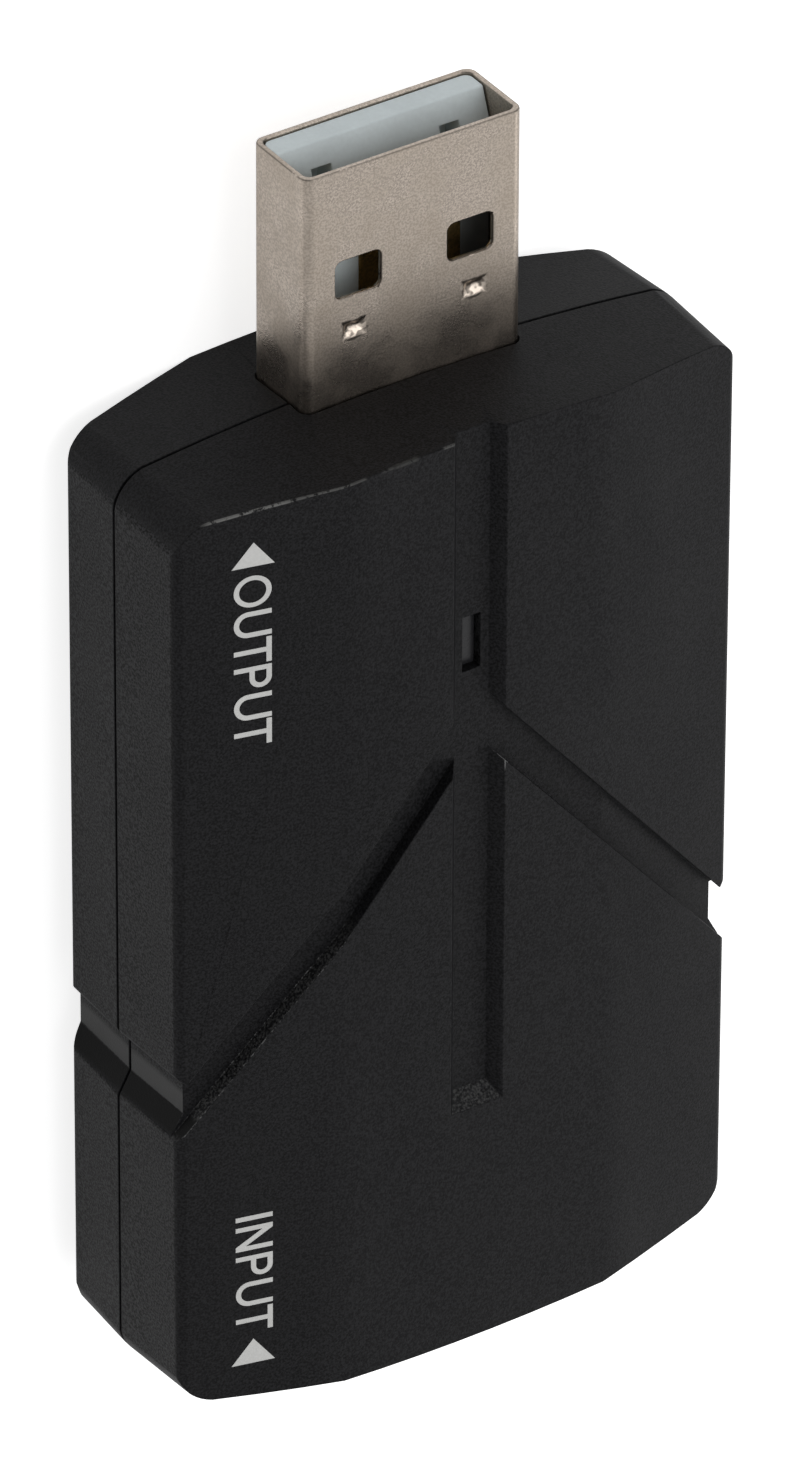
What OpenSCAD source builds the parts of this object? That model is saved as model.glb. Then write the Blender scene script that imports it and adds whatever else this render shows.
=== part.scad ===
// Video capture box: a faceted two-part case with a plug at one end and a socket at the other.
// Millimetres. The case lies on its rear face with its front face up and its plug toward +Y.
// Inside place(), y runs from the socket end of the case and z from the parting line.

/* [Case] */
// Width of the case at the parting line
case_width = 31.3; // [30.6:0.1:33]
// Length of the case along its middle
case_length = 51.6; // [50:0.1:56]
// Height of the front half above the parting line
front_height = 6.9; // [6.7:0.1:8]
// Height of the rear half below the parting line
rear_height = 6.35; // [6.2:0.05:7.5]
// Height of the front half's side walls
front_side = 5; // [4.5:0.05:5.3]
// Height of the rear half's side walls
rear_side = 4.5; // [4.1:0.05:4.9]
// Half the width of the flat middle facet
facet_half = 7.4; // [6.8:0.1:8.2]
// Radius of the bowed ends
end_radius = 115; // [95:1:160]
// Radius of the corners, seen from the front
corner_radius = 2.1; // [1.3:0.1:2.2]
// Radius of the long outer edges
edge_radius = 0.7; // [0.3:0.05:0.8]
// Radius that rounds off the rear tips of the socket end's corners
tip_radius = 1; // [0.6:0.1:1.5]
// Radius where two facets meet
fold_radius = 3; // [1:0.5:6]
// Draft of the front half's sides, in degrees
front_draft = 1.5; // [0.5:0.1:2.5]
// Draft of the rear half's sides, in degrees
rear_draft = 2.2; // [0.5:0.1:3]
// Draft of both ends, in degrees
end_draft = 2.6; // [0.5:0.1:3.5]
// Wall thickness
wall = 1.7; // [1.5:0.1:1.9]
// Thickness of the end walls
end_wall = 2; // [1.8:0.1:2.4]
// Gap that shows along the parting line
seam_gap = 0.14; // [0.06:0.02:0.3]
// Thickness of the lip that locates the two halves
lip_thick = 0.55; // [0.4:0.05:0.7]
// Depth that the lip reaches past the parting line
lip_depth = 0.8; // [0.5:0.1:1.2]
// Clearance around the lip
lip_fit = 0.08; // [0.05:0.01:0.15]

/* [Channel] */
// Depth of the channel in the front face
channel_depth = 0.7; // [0.4:0.05:0.8]
// Half the channel's width at the surface
channel_half = 1.46; // [1.2:0.02:1.8]
// Half the channel's width at its floor
channel_floor = 0.92; // [0.8:0.02:1.1]
// Distance of the channel's ramped end from the plug end of the case
ramp_back = 37.95; // [36.5:0.05:39.5]
// Length of the ramp
ramp_run = 0.95; // [0.6:0.05:1.4]
// Where the arms' upper edges would cross the middle, from the plug end of the case
arm_top_back = 14.05; // [13.4:0.05:15]
// Slant of the arms' upper edges, in degrees
arm_top_slant = 50.1; // [49:0.1:51.2]
// Where the arms' lower edges would cross the middle, from the plug end of the case
arm_low_back = 17.05; // [16.4:0.05:18]
// Slant of the arms' lower edges, in degrees
arm_low_slant = 49.65; // [49:0.05:51]
// Depth of the side notches that the arms run into
notch_depth = 0.66; // [0.4:0.02:0.75]
// Length of the ramp at a notch's lower side
notch_ramp = 1.2; // [0.6:0.05:1.2]
// Reach of a notch above its arm's upper edge
notch_rise = 0.6; // [0.1:0.05:0.6]
// Radius of a notch's upper edge
notch_round = 0.6; // [0.2:0.05:0.6]
// Radius of a notch's lower edge
ramp_round = 1.2; // [0.4:0.1:1.5]

/* [Indicator] */
// Width of the indicator window
window_width = 1; // [0.8:0.05:1.4]
// Length of the indicator window
window_length = 3; // [2.4:0.1:3.6]
// Distance of the indicator window's middle from the plug end of the case
window_back = 12.1; // [10.6:0.1:12.2]
// Depth of the lens face below the channel's floor
lens_recess = 0.44; // [0.2:0.02:0.6]
// Clearance around the lens
lens_fit = 0.05; // [0.03:0.01:0.1]
// Thickness of the lens's flange
lens_flange = 0.6; // [0.4:0.1:1]
// Reach of the flange past the window
flange_reach = 0.7; // [0.5:0.1:1.2]

/* [Plug] */
// Width of the plug's shell
plug_width = 12; // [11.9:0.05:12.1]
// Thickness of the plug's shell
plug_thick = 4.5; // [4.4:0.05:4.6]
// Sheet thickness of the plug's shell
plug_sheet = 0.3; // [0.25:0.01:0.34]
// Outer bend radius of the plug's shell
plug_radius = 0.55; // [0.45:0.05:0.7]
// Length of the plug outside the case
plug_out = 12.35; // [11.8:0.05:13]
// Whole length of the plug's shell
plug_total = 18.75; // [18.4:0.05:19.2]
// Depth of the plug's middle behind the parting line
plug_back = 0.98; // [0.8:0.02:1.1]
// Clearance around the plug in the case
plug_fit = 0.08; // [0.05:0.01:0.15]
// Width of the windows in the plug's shell
pane_width = 2.5; // [2.2:0.05:2.7]
// Length of the windows in the plug's shell
pane_length = 2; // [1.8:0.05:2.3]
// Corner radius of those windows
pane_radius = 0.38; // [0.2:0.02:0.5]
// Distance of the windows' middles from the plug's middle
pane_x = 3.07; // [2.8:0.01:3.3]
// Distance of the windows' middles from the plug's mouth
pane_back = 5.93; // [5.5:0.05:6.3]
// Distance of the pressed catches from the plug's middle
catch_x = 3.3; // [3:0.05:3.5]
// Distance of the pressed catches from the plug's mouth
catch_back = 8.7; // [8.4:0.05:9.4]
// Width of a pressed catch
catch_width = 1.3; // [1:0.05:1.5]
// Length of a pressed catch
catch_length = 0.86; // [0.7:0.02:1]
// Width of the sloping sides of a pressed catch
catch_slope = 0.32; // [0.2:0.02:0.34]
// Depth of a pressed catch
catch_depth = 0.22; // [0.1:0.02:0.23]
// Length of the plug shell's legs on the board
leg_length = 2.4; // [1.8:0.1:3]
// Height of those legs
leg_height = 2.7; // [2.2:0.1:3.2]

/* [Plug insulator] */
// Thickness of the tongue
tongue_thick = 1.9; // [1.8:0.02:1.95]
// Thickness of the tongue at its tip
tongue_tip = 1.3; // [1.1:0.05:1.5]
// Length of the slope at the tongue's tip
tongue_slope = 1.6; // [1.2:0.05:2]
// Distance of the tongue's tip inside the plug's mouth
tongue_inset = 0.1; // [0.05:0.05:0.3]
// Length of the block that fills the shell
block_length = 6; // [5.5:0.1:6.5]
// Clearance of the insulator in the shell
block_fit = 0.04; // [0.02:0.01:0.06]
// Width of a contact
contact_width = 1; // [0.9:0.05:1.1]
// Thickness of a contact
contact_thick = 0.2; // [0.15:0.01:0.25]
// Depth that a contact is sunk into the tongue
contact_sunk = 0.15; // [0.1:0.01:0.18]
// Clearance around a contact in its groove
contact_fit = 0.03; // [0.02:0.01:0.05]
// Distance of the outer contacts from the middle
power_x = 3.5; // [3.4:0.05:3.6]
// Distance of the inner contacts from the middle
data_x = 1; // [0.95:0.05:1.05]
// Distance of the outer contacts' tips from the tongue's tip
power_back = 1.7; // [1.65:0.05:2]
// Distance of the inner contacts' tips from the tongue's tip
data_back = 2.75; // [2.5:0.05:3]
// Length of the pit before each contact's tip
pit_length = 0.55; // [0.3:0.05:0.6]
// Length of a contact's foot on the board
foot_length = 2.2; // [1.6:0.1:2.6]

/* [Socket] */
// Width of the socket's mouth
socket_width = 14; // [13.9:0.05:14.1]
// Height of the socket's mouth
socket_height = 4.55; // [4.5:0.05:4.6]
// Size of the socket's slanted lower corners
socket_bevel = 1.75; // [1.5:0.05:2]
// Sheet thickness of the socket's shell
socket_sheet = 0.3; // [0.25:0.01:0.4]
// Depth of the socket's shell
socket_depth = 11; // [10.5:0.1:11.6]
// Distance of the socket's mouth inside the end of the case
socket_inset = 0.35; // [0.25:0.05:0.6]
// Clearance around the socket in the case
socket_fit = 0.12; // [0.08:0.02:0.2]
// Half the width of the socket's tongue
blade_half = 5.9; // [5.7:0.05:6]
// Thickness of the socket's tongue
blade_thick = 1; // [0.9:0.02:1.1]
// Height of the socket tongue's middle above the socket's middle
blade_up = 0.1; // [0:0.02:0.2]
// Distance of the socket tongue's tip inside the mouth
blade_inset = 1.3; // [1:0.1:1.8]
// Length of the block behind the tongue
stop_length = 2.6; // [2:0.1:3]
// Spacing of the socket's contacts
pin_pitch = 1; // [0.9:0.05:1.05]
// Width of a socket contact
pin_width = 0.36; // [0.3:0.02:0.4]
// Thickness of a socket contact
pin_thick = 0.14; // [0.1:0.02:0.18]
// Distance of the contacts' tips from the tongue's tip
pin_back = 0.6; // [0.4:0.1:1]
// Contacts on the upper face of the tongue
upper_pins = 10; // [6:1:10]
// Contacts on the lower face of the tongue
lower_pins = 9; // [5:1:9]
// Length of a spring finger in the socket's shell
finger_length = 4; // [3:0.1:5]
// Width of a spring finger
finger_width = 1.8; // [1.4:0.1:2.2]
// Width of the slit around a spring finger
finger_slit = 0.28; // [0.2:0.02:0.4]
// Distance of the spring fingers from the socket's mouth
finger_back = 2; // [1.5:0.1:3]
// Distance of the spring fingers from the middle
finger_x = 3; // [2.6:0.1:3.4]
// Length of a mounting ear
ear_length = 1.8; // [1.4:0.1:2.2]
// Reach of a mounting ear on the board
ear_reach = 1.9; // [1.4:0.1:2.2]
// Distance of the front ears from the socket's mouth
ear_front = 3.5; // [3.2:0.1:4.5]
// Distance of the rear ears from the socket's inner end
ear_rear = 3; // [2:0.1:3.5]

/* [Board] */
// Thickness of the board
board_thick = 1; // [0.8:0.1:1.2]
// Clearance between the board and the case walls
board_clear = 0.4; // [0.3:0.05:0.6]
// Clearance between the board and the connectors
notch_fit = 0.2; // [0.15:0.05:0.3]
// Distance of the posts from the middle
post_x = 10.9; // [10.6:0.05:11.2]
// Radius of the posts
post_radius = 1.6; // [1.4:0.05:1.8]
// Distance of the posts from the connectors' inner ends
post_back = 3.4; // [3:0.1:4]
// Radius of the locating pins
pin_radius = 0.7; // [0.6:0.02:0.8]
// Reach of the locating pins past the board
pin_reach = 3; // [2.5:0.1:3.4]
// Clearance of the pins in their sockets
pin_fit = 0.03; // [0.02:0.01:0.05]
// Clearance of the pins in the board
hole_fit = 0.15; // [0.1:0.05:0.25]
// Thickness of the ribs that hold the connectors
rib_thick = 1.2; // [1:0.1:1.6]
// Distance of those ribs' ends inside the connectors' sides
rib_inset = 2; // [1:0.1:2.5]

/* [Electronics] */
// Width of the capture chip
chip_width = 7; // [6.5:0.1:7.5]
// Height of the capture chip
chip_height = 0.85; // [0.7:0.05:1]
// Radius of the mark in the capture chip's corner
mark_radius = 0.4; // [0.3:0.05:0.5]
// Width of the memory chip's body
memory_width = 3.9; // [3.7:0.1:4.1]
// Length of the memory chip's body
memory_length = 4.9; // [4.7:0.1:5.1]
// Height of the memory chip
memory_height = 1.5; // [1.3:0.05:1.7]
// Spacing of the memory chip's leads
memory_pitch = 1.27; // [1.2:0.01:1.3]
// Width of the crystal
crystal_width = 2.5; // [2.3:0.1:2.7]
// Length of the crystal
crystal_length = 3.2; // [3:0.1:3.4]
// Height of the crystal
crystal_height = 0.8; // [0.6:0.05:1]
// Width of a regulator's body
regulator_width = 1.6; // [1.5:0.05:1.7]
// Length of a regulator's body
regulator_length = 2.9; // [2.8:0.05:3]
// Height of a regulator
regulator_height = 1.1; // [1:0.05:1.2]
// Spacing of a regulator's leads
regulator_pitch = 0.95; // [0.9:0.01:1]
// Width of the coil's square body
coil_width = 3; // [2.6:0.1:3.2]
// Height of the coil
coil_height = 1.4; // [1.2:0.05:1.6]
// Width of a protection array
array_width = 2.5; // [2.3:0.05:2.6]
// Depth of a protection array
array_depth = 1; // [0.9:0.05:1.1]
// Height of a protection array
array_height = 0.5; // [0.4:0.05:0.6]
// Length of a small chip component
small_length = 1.6; // [1.5:0.05:1.7]
// Width of a small chip component
small_width = 0.8; // [0.7:0.05:0.9]
// Height of a capacitor
capacitor_height = 0.8; // [0.7:0.05:0.9]
// Height of a resistor
resistor_height = 0.45; // [0.4:0.05:0.5]
// Height of the status lamp
lamp_height = 0.6; // [0.5:0.05:0.7]
// Gap between the status lamp and its light pipe
lamp_gap = 0.25; // [0.1:0.05:0.5]
// Thickness of the metal leads and end caps
lead_thick = 0.15; // [0.1:0.01:0.2]

/* [Hidden] */
$fn = 64;

half = case_width / 2;
spare = 1;
// Rounded edges run a little proud of tangent, so each one meets its faces in a clean line
blend = 1.012;
front_edge = half - front_side * tan(front_draft);
rear_edge = half - rear_side * tan(rear_draft);
front_tilt = atan((front_height - front_side) / (front_edge - facet_half));
rear_tilt = atan((rear_height - rear_side) / (rear_edge - facet_half));
cavity_half = min(front_edge, rear_edge) - wall;
overall_length = case_length + plug_out;
low_end = (socket_height / 2 + socket_sheet + socket_fit) * tan(end_draft);
channel_z = front_height - channel_depth;
ramp_low = case_length - ramp_back;
arm_top = case_length - arm_top_back;
arm_low = case_length - arm_low_back;
notch_low = lower_edge(front_edge);
notch_high = upper_edge(front_edge) + notch_rise;
window_y = case_length - window_back;

plug_z = -plug_back;
plug_mouth = case_length + plug_out;
plug_end = plug_mouth - plug_total;
plug_floor = plug_z - plug_thick / 2 + plug_sheet;
tongue_z = plug_floor + tongue_thick;
tongue_y = plug_mouth - tongue_inset;
block_y = plug_end + block_length;

board_z = tongue_z - contact_sunk;
board_under = board_z - board_thick;
board_half = cavity_half - board_clear;
board_high = plug_end - notch_fit;

socket_end = socket_inset + socket_depth;
socket_half = socket_width / 2 + socket_sheet;
socket_up = socket_height / 2 + socket_sheet;
blade_z = blade_up;
blade_y = socket_inset + blade_inset;
stop_y = socket_end - stop_length;
board_low = end_wall + board_clear;
board_step = socket_end + notch_fit;

posts = [for (side = [-1, 1], y = [socket_end + post_back, plug_end - post_back]) [side * post_x, y]];
lens_z = channel_z - lens_recess;
ceiling = front_height - wall;
rear_floor = -(rear_height - wall);
rib_y = case_length - end_wall - 2 * rib_thick;
lamp_top = board_z + lamp_height;

// Places on the board: shares of its half width, and of the free length between the connectors
function spot(across, along) = [across * board_half, socket_end + along * (plug_end - socket_end)];
chip_at = spot(0, 0.43);
memory_at = spot(-0.63, 0.43);
crystal_at = spot(0.55, 0.38);
regulators_at = [spot(0.62, 0.63), spot(0.62, 0.76)];
coil_at = spot(-0.6, 0.72);
arrays_at = [for (across = [-0.36, -0.12, 0.12, 0.36]) spot(across, 0.15)];
capacitors_at = concat([for (across = [-0.41, -0.15, 0.15, 0.41]) spot(across, 0.25)],
    [for (across = [-0.19, 0.19]) spot(across, 0.6)], [for (across = [-0.34, 0.34]) spot(across, 0.74)],
    [spot(0.84, 0.39)]);
resistors_at = concat([for (across = [-0.24, 0.24]) spot(across, 0.87)],
    [for (across = [-0.27, 0.27]) spot(across, 0.67)], [spot(-0.87, 0.27), spot(0.72, 0.27)]);

function front_face(x) = front_height - max(0, x - facet_half) * tan(front_tilt);
function rear_face(x) = -rear_height + max(0, x - facet_half) * tan(rear_tilt);
function upper_edge(x) = arm_top - x * tan(arm_top_slant);
function lower_edge(x) = arm_low - x * tan(arm_low_slant);
function unit(v) = v / norm(v);

// From the case's own coordinates to the part's frame
module place() {
    translate([0, -(low_end + overall_length) / 2, rear_height]) children();
}

// An outline in x and z, drawn out along y
module along_y(from, to) {
    translate([0, to, 0]) rotate([90, 0, 0]) linear_extrude(to - from) children();
}

// A block given by its two corners
module block(low, high) {
    translate(low) cube(high - low);
}

module rounded_rect(width, height, radius) {
    square([width - 2 * radius, height], center = true);
    square([width, height - 2 * radius], center = true);
    for (x = [-1, 1], y = [-1, 1])
        translate([x * (width / 2 - radius), y * (height / 2 - radius)]) circle(r = radius);
}

// What comes off a sharp outer corner p, between its neighbours a and b, to round it
module corner_waste(a, p, b, radius) {
    u = unit(a - p);
    v = unit(b - p);
    opening = acos(u * v) / 2;
    reach = radius / tan(opening);
    middle = p + unit(u + v) * radius / sin(opening);
    difference() {
        polygon([p + u * reach, p - unit(u + v) * radius, p + v * reach]);
        translate(middle) circle(r = radius * blend);
    }
}

// The same in a few flats, for the corner at the origin between the directions u and v
module corner_flats(u, v, radius, flats) {
    inward = unit(unit(u) + unit(v));
    opening = acos(unit(u) * unit(v)) / 2;
    middle = inward * radius / sin(opening);
    step = (180 - 2 * opening) / (flats + 1);
    start = atan2(-inward[1], -inward[0]) - step * flats / 2;
    polygon(concat([-inward * radius], [for (i = [0:flats])
        middle + [cos(start + i * step), sin(start + i * step)] * radius / cos(step / 2)]));
}

// One half of the case as a solid, from the parting line up
module half_solid(height, side, draft) {
    low = [half - tan(draft) * seam_gap / 2, seam_gap / 2];
    edge = [half - tan(draft) * side, side];
    fold = [facet_half, height];
    difference() {
        intersection() {
            along_y(-spare, case_length + spare) difference() {
                polygon([[-low[0], low[1]], low, edge, fold, [-fold[0], fold[1]], [-edge[0], edge[1]]]);
                for (flip = [0, 1]) mirror([flip, 0]) {
                    corner_waste(low, edge, fold, edge_radius);
                    corner_waste(edge, fold, [0, height], fold_radius);
                }
            }
            end_bow(height, case_length - end_radius);
            end_bow(height, end_radius);
        }
        for (flip = [0, 1]) mirror([flip, 0, 0]) {
            case_corner(height, draft);
            translate([0, case_length, 0]) mirror([0, 1, 0]) case_corner(height, draft);
        }
    }
}

// The bowed, drafted surface of one end
module end_bow(height, y) {
    rise = height + spare;
    translate([0, y, 0])
        cylinder(h = rise, r1 = end_radius, r2 = end_radius - rise * tan(end_draft), $fn = 180);
}

// What comes off one drafted corner of the case
module case_corner(height, draft) {
    x = half - corner_radius;
    rise = sqrt(pow(end_radius - corner_radius, 2) - x * x);
    y = case_length - end_radius + rise;
    lean = atan(x / rise);
    far = 4 * corner_radius;
    translate([x, y, 0]) rotate([end_draft, -draft, 0]) translate([0, 0, -spare])
        linear_extrude(height + 2 * spare) difference() {
            polygon([[0, 0], [far, 0], [far, far], [far * sin(lean), far * cos(lean)]]);
            circle(r = corner_radius * blend);
        }
}

// What comes off the rear tips of the socket end's corners
module rear_tips() {
    x = half - corner_radius;
    y = end_radius - sqrt(pow(end_radius - corner_radius, 2) - x * x);
    clear = corner_radius * (blend - 1);
    reach = corner_radius + 2 * clear;
    rise = rear_height - (x - facet_half) * tan(rear_tilt) + clear;
    for (flip = [0, 1], turn = [20:20:60]) mirror([flip, 0, 0]) translate([x, y, 0]) rotate([0, 0, -turn]) {
        slope = tan(rear_tilt) * cos(turn);
        lean = tan(rear_draft) * cos(turn) + tan(end_draft) * sin(turn);
        top = (rise - slope * reach) / (1 - slope * lean);
        fall = atan(tan(rear_tilt) * sin(turn));
        translate([reach - lean * top, 0, top]) rotate([-fall, 0, 0])
            along_y(-2 * corner_radius, 2 * corner_radius)
                corner_flats([lean, -1], [-1, slope], tip_radius, 3);
    }
}

// The hollow of one half
module half_hollow(height, tilt) {
    drop = wall / cos(tilt);
    shoulder = height - (cavity_half - facet_half) * tan(tilt) - drop;
    top = height - wall;
    along_y(end_wall, case_length - end_wall)
        polygon([[-cavity_half, -spare], [cavity_half, -spare], [cavity_half, shoulder],
            [facet_half, top], [-facet_half, top], [-cavity_half, shoulder]]);
}

// Ring between the hollow and a line set out from it
module lip_ring(out, from, to) {
    translate([0, 0, from]) linear_extrude(to - from) difference() {
        translate([-cavity_half - out, end_wall - out])
            square([2 * (cavity_half + out), case_length - 2 * (end_wall - out)]);
        translate([-cavity_half, end_wall]) square([2 * cavity_half, case_length - 2 * end_wall]);
    }
}

// Openings in the ends of the case for the plug and the socket
module connector_openings() {
    translate([0, 0, plug_z]) along_y(case_length - end_wall - 2 * spare, case_length + spare)
        rounded_rect(plug_width + 2 * plug_fit, plug_thick + 2 * plug_fit, plug_radius + plug_fit);
    along_y(-spare, end_wall + spare) socket_outline(socket_sheet + socket_fit);
}

// The notches in the sides of one half, leaning with its walls
module side_notches(height, draft) {
    low = [0, notch_low];
    high = [0, notch_high];
    floor_low = [-notch_depth, notch_low + notch_ramp];
    floor_high = [-notch_depth, notch_high];
    for (flip = [0, 1]) mirror([flip, 0, 0])
        translate([half, 0, 0]) rotate([0, -draft, 0]) translate([0, 0, -spare])
            linear_extrude(height + 2 * spare) {
                polygon([floor_low, floor_high, high + [spare, 0],
                    low + [spare, -spare * notch_ramp / notch_depth]]);
                corner_waste(floor_high, high, high + [0, spare], notch_round);
                corner_waste(floor_low, low, low - [0, spare], ramp_round);
            }
}

// The straight channel, with its ramp at the lower end
module straight_channel() {
    intersection() {
        along_y(0, case_length + spare)
            polygon([[-channel_floor, channel_z], [channel_floor, channel_z],
                [channel_half, front_height], [channel_half, front_height + spare],
                [-channel_half, front_height + spare], [-channel_half, front_height]]);
        translate([-2 * channel_half, 0, 0]) rotate([90, 0, 90]) linear_extrude(4 * channel_half)
            polygon([[ramp_low + ramp_run, channel_z], [ramp_low, front_height],
                [ramp_low, front_height + spare], [case_length + spare, front_height + spare],
                [case_length + spare, channel_z]]);
    }
}

// One arm of the channel, as deep as the channel in the middle facet and the side facet
module channel_arm() {
    far = half + spare;
    intersection() {
        linear_extrude(front_height + spare)
            polygon([[0, upper_edge(0)], [far, upper_edge(far)], [far, lower_edge(far)], [0, lower_edge(0)]]);
        along_y(0, case_length)
            polygon([[-spare, channel_z], [facet_half, channel_z], [far, front_face(far) - channel_depth],
                [far, front_height + spare], [-spare, front_height + spare]]);
    }
}

// Outer outline of the socket's shell, set out from its mouth
module socket_outline(out) {
    w = socket_width / 2 + out;
    h = socket_height / 2 + out;
    cut = socket_bevel + out * (2 - sqrt(2));
    polygon([[-w, h], [w, h], [w, cut - h], [w - cut, -h], [cut - w, -h], [-w, cut - h]]);
}

module front_shell() {
    color([0.13, 0.13, 0.14]) place() difference() {
        union() {
            difference() {
                half_solid(front_height, front_side, front_draft);
                half_hollow(front_height, front_tilt);
                straight_channel();
                for (flip = [0, 1]) mirror([flip, 0, 0]) channel_arm();
            }
            lip_ring(lip_thick, -lip_depth, seam_gap / 2 + spare / 2);
            for (p = posts) translate([p[0], p[1], board_z])
                cylinder(h = front_face(post_x) - wall / 2 - board_z, r = post_radius);
            block([-plug_width / 2 + rib_inset, rib_y, plug_z + plug_thick / 2 + plug_fit],
                [plug_width / 2 - rib_inset, rib_y + rib_thick, ceiling + wall / 5]);
            block([-socket_width / 2 + rib_inset, socket_end / 2, socket_up + socket_fit],
                [socket_width / 2 - rib_inset, socket_end / 2 + rib_thick, ceiling + wall / 5]);
        }
        side_notches(front_height, front_draft);
        connector_openings();
        block([-window_width / 2, window_y - window_length / 2, ceiling - spare],
            [window_width / 2, window_y + window_length / 2, front_height]);
        for (p = posts) translate([p[0], p[1], board_z - spare])
            cylinder(h = pin_reach + 1.3 * spare, r = pin_radius + pin_fit);
    }
}

module rear_shell() {
    lip_line = cavity_half + lip_thick + lip_fit;
    color([0.13, 0.13, 0.14]) place() difference() {
        union() {
            difference() {
                mirror([0, 0, 1]) difference() {
                    half_solid(rear_height, rear_side, rear_draft);
                    half_hollow(rear_height, rear_tilt);
                }
                block([-lip_line, end_wall - lip_thick - lip_fit, -lip_depth - lip_fit],
                    [lip_line, case_length - end_wall + lip_thick + lip_fit, spare]);
            }
            for (p = posts) translate([p[0], p[1], 0]) {
                translate([0, 0, rear_face(post_x) + wall / 2])
                    cylinder(h = board_under - rear_face(post_x) - wall / 2, r = post_radius);
                translate([0, 0, board_under - wall / 2])
                    cylinder(h = board_thick + pin_reach + wall / 2, r = pin_radius);
            }
            block([-plug_width / 2 + rib_inset, rib_y, rear_floor - wall / 5],
                [plug_width / 2 - rib_inset, rib_y + rib_thick, plug_z - plug_thick / 2 - plug_fit]);
            block([-socket_width / 2 + rib_inset, socket_end / 2, rear_floor - wall / 5],
                [socket_width / 2 - rib_inset, socket_end / 2 + rib_thick, -socket_up - socket_fit]);
        }
        mirror([0, 0, 1]) {
            side_notches(rear_height, rear_draft);
            rear_tips();
        }
        connector_openings();
    }
}

// Clear rod that carries the lamp's light to the window
module light_pipe() {
    w = window_width / 2 - lens_fit;
    l = window_length / 2 - lens_fit;
    top = ceiling - lens_fit;
    color([0.17, 0.18, 0.2]) place() translate([0, window_y, 0]) {
        block([-w, -l, top - lens_flange / 2], [w, l, lens_z]);
        block([-w - flange_reach, -l - flange_reach, top - lens_flange],
            [w + flange_reach, l + flange_reach, top]);
        block([-w, -l / 2, lamp_top + lamp_gap], [w, l / 2, top - lens_flange / 2]);
    }
}

// A pressed catch: a small pit with four sloping sides
module catch_pit() {
    rise = catch_slope * spare / catch_depth;
    intersection() {
        along_y(-catch_length, catch_length) pit_side(catch_width / 2, rise);
        rotate([0, 0, 90]) along_y(-catch_width, catch_width) pit_side(catch_length / 2, rise);
    }
}

module pit_side(reach, rise) {
    polygon([[-reach + catch_slope, -catch_depth], [reach - catch_slope, -catch_depth],
        [reach + rise, spare], [-reach - rise, spare]]);
}

module plug_shell() {
    front = plug_z + plug_thick / 2;
    color([0.66, 0.62, 0.57]) place() difference() {
        union() {
            translate([0, 0, plug_z]) along_y(plug_end, plug_mouth) difference() {
                rounded_rect(plug_width, plug_thick, plug_radius);
                rounded_rect(plug_width - 2 * plug_sheet, plug_thick - 2 * plug_sheet,
                    plug_radius - plug_sheet / 2);
            }
            for (flip = [0, 1]) mirror([flip, 0, 0])
                block([plug_width / 2 - plug_sheet, plug_end - leg_length, plug_z - leg_height / 2],
                    [plug_width / 2, plug_end + spare, plug_z + leg_height / 2]);
        }
        for (side = [-1, 1]) {
            translate([side * pane_x, plug_mouth - pane_back, plug_z - plug_thick])
                linear_extrude(2 * plug_thick) rounded_rect(pane_width, pane_length, pane_radius);
            translate([side * catch_x, plug_mouth - catch_back, front]) catch_pit();
        }
    }
}

// Outline that fills the inside of the plug's shell
module plug_inside() {
    rounded_rect(plug_width - 2 * (plug_sheet + block_fit), plug_thick - 2 * (plug_sheet + block_fit),
        plug_radius - plug_sheet / 2);
}

// A straight contact from its tip to its foot, with room around it
module plug_contact(x, back, room) {
    block([x - contact_width / 2 - room, plug_end - foot_length, board_z - room],
        [x + contact_width / 2 + room, tongue_y - back, board_z + contact_thick + room]);
}

module plug_insulator() {
    color([0.72, 0.79, 0.82]) place() difference() {
        union() {
            translate([0, 0, plug_z]) along_y(plug_end, block_y) plug_inside();
            intersection() {
                translate([0, 0, plug_z]) along_y(block_y - spare, tongue_y) plug_inside();
                translate([-plug_width / 2, 0, plug_floor]) rotate([90, 0, 90]) linear_extrude(plug_width)
                    polygon([[block_y - spare, 0], [tongue_y, 0], [tongue_y, tongue_tip],
                        [tongue_y - tongue_slope, tongue_thick], [block_y - spare, tongue_thick]]);
            }
        }
        for (side = [-1, 1]) {
            plug_contact(side * power_x, power_back, contact_fit);
            plug_contact(side * data_x, data_back, contact_fit);
            pit(side * power_x, power_back);
            pit(side * data_x, data_back);
        }
    }
}

// The pit in the tongue that takes a contact's tip
module pit(x, back) {
    block([x - contact_width / 2 - contact_fit, tongue_y - back - spare, plug_floor + tongue_thick / 3],
        [x + contact_width / 2 + contact_fit, tongue_y - back + pit_length, tongue_z + spare]);
}

module plug_power_contacts() {
    color([0.83, 0.66, 0.3]) place() for (side = [-1, 1]) plug_contact(side * power_x, power_back, 0);
}

module plug_data_contacts() {
    color([0.83, 0.66, 0.3]) place() for (side = [-1, 1]) plug_contact(side * data_x, data_back, 0);
}

// The slit around one spring finger, open toward the mouth
module finger_slits() {
    w = finger_width / 2;
    y = socket_inset + finger_back;
    linear_extrude(2 * socket_height, center = true) {
        for (side = [-1, 1]) translate([side * (w + finger_slit / 2), y + finger_length / 2])
            square([finger_slit, finger_length], center = true);
        translate([0, y + finger_slit / 2])
            square([finger_width + 2 * finger_slit, finger_slit], center = true);
    }
}

module socket_shell() {
    color([0.72, 0.72, 0.72]) place() {
        difference() {
            along_y(socket_inset, socket_end) difference() {
                socket_outline(socket_sheet);
                socket_outline(0);
            }
            for (side = [-1, 1]) translate([side * finger_x, 0, 0]) finger_slits();
        }
        for (flip = [0, 1], y = [socket_inset + ear_front, socket_end - ear_rear]) mirror([flip, 0, 0])
            ear(y);
    }
}

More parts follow.
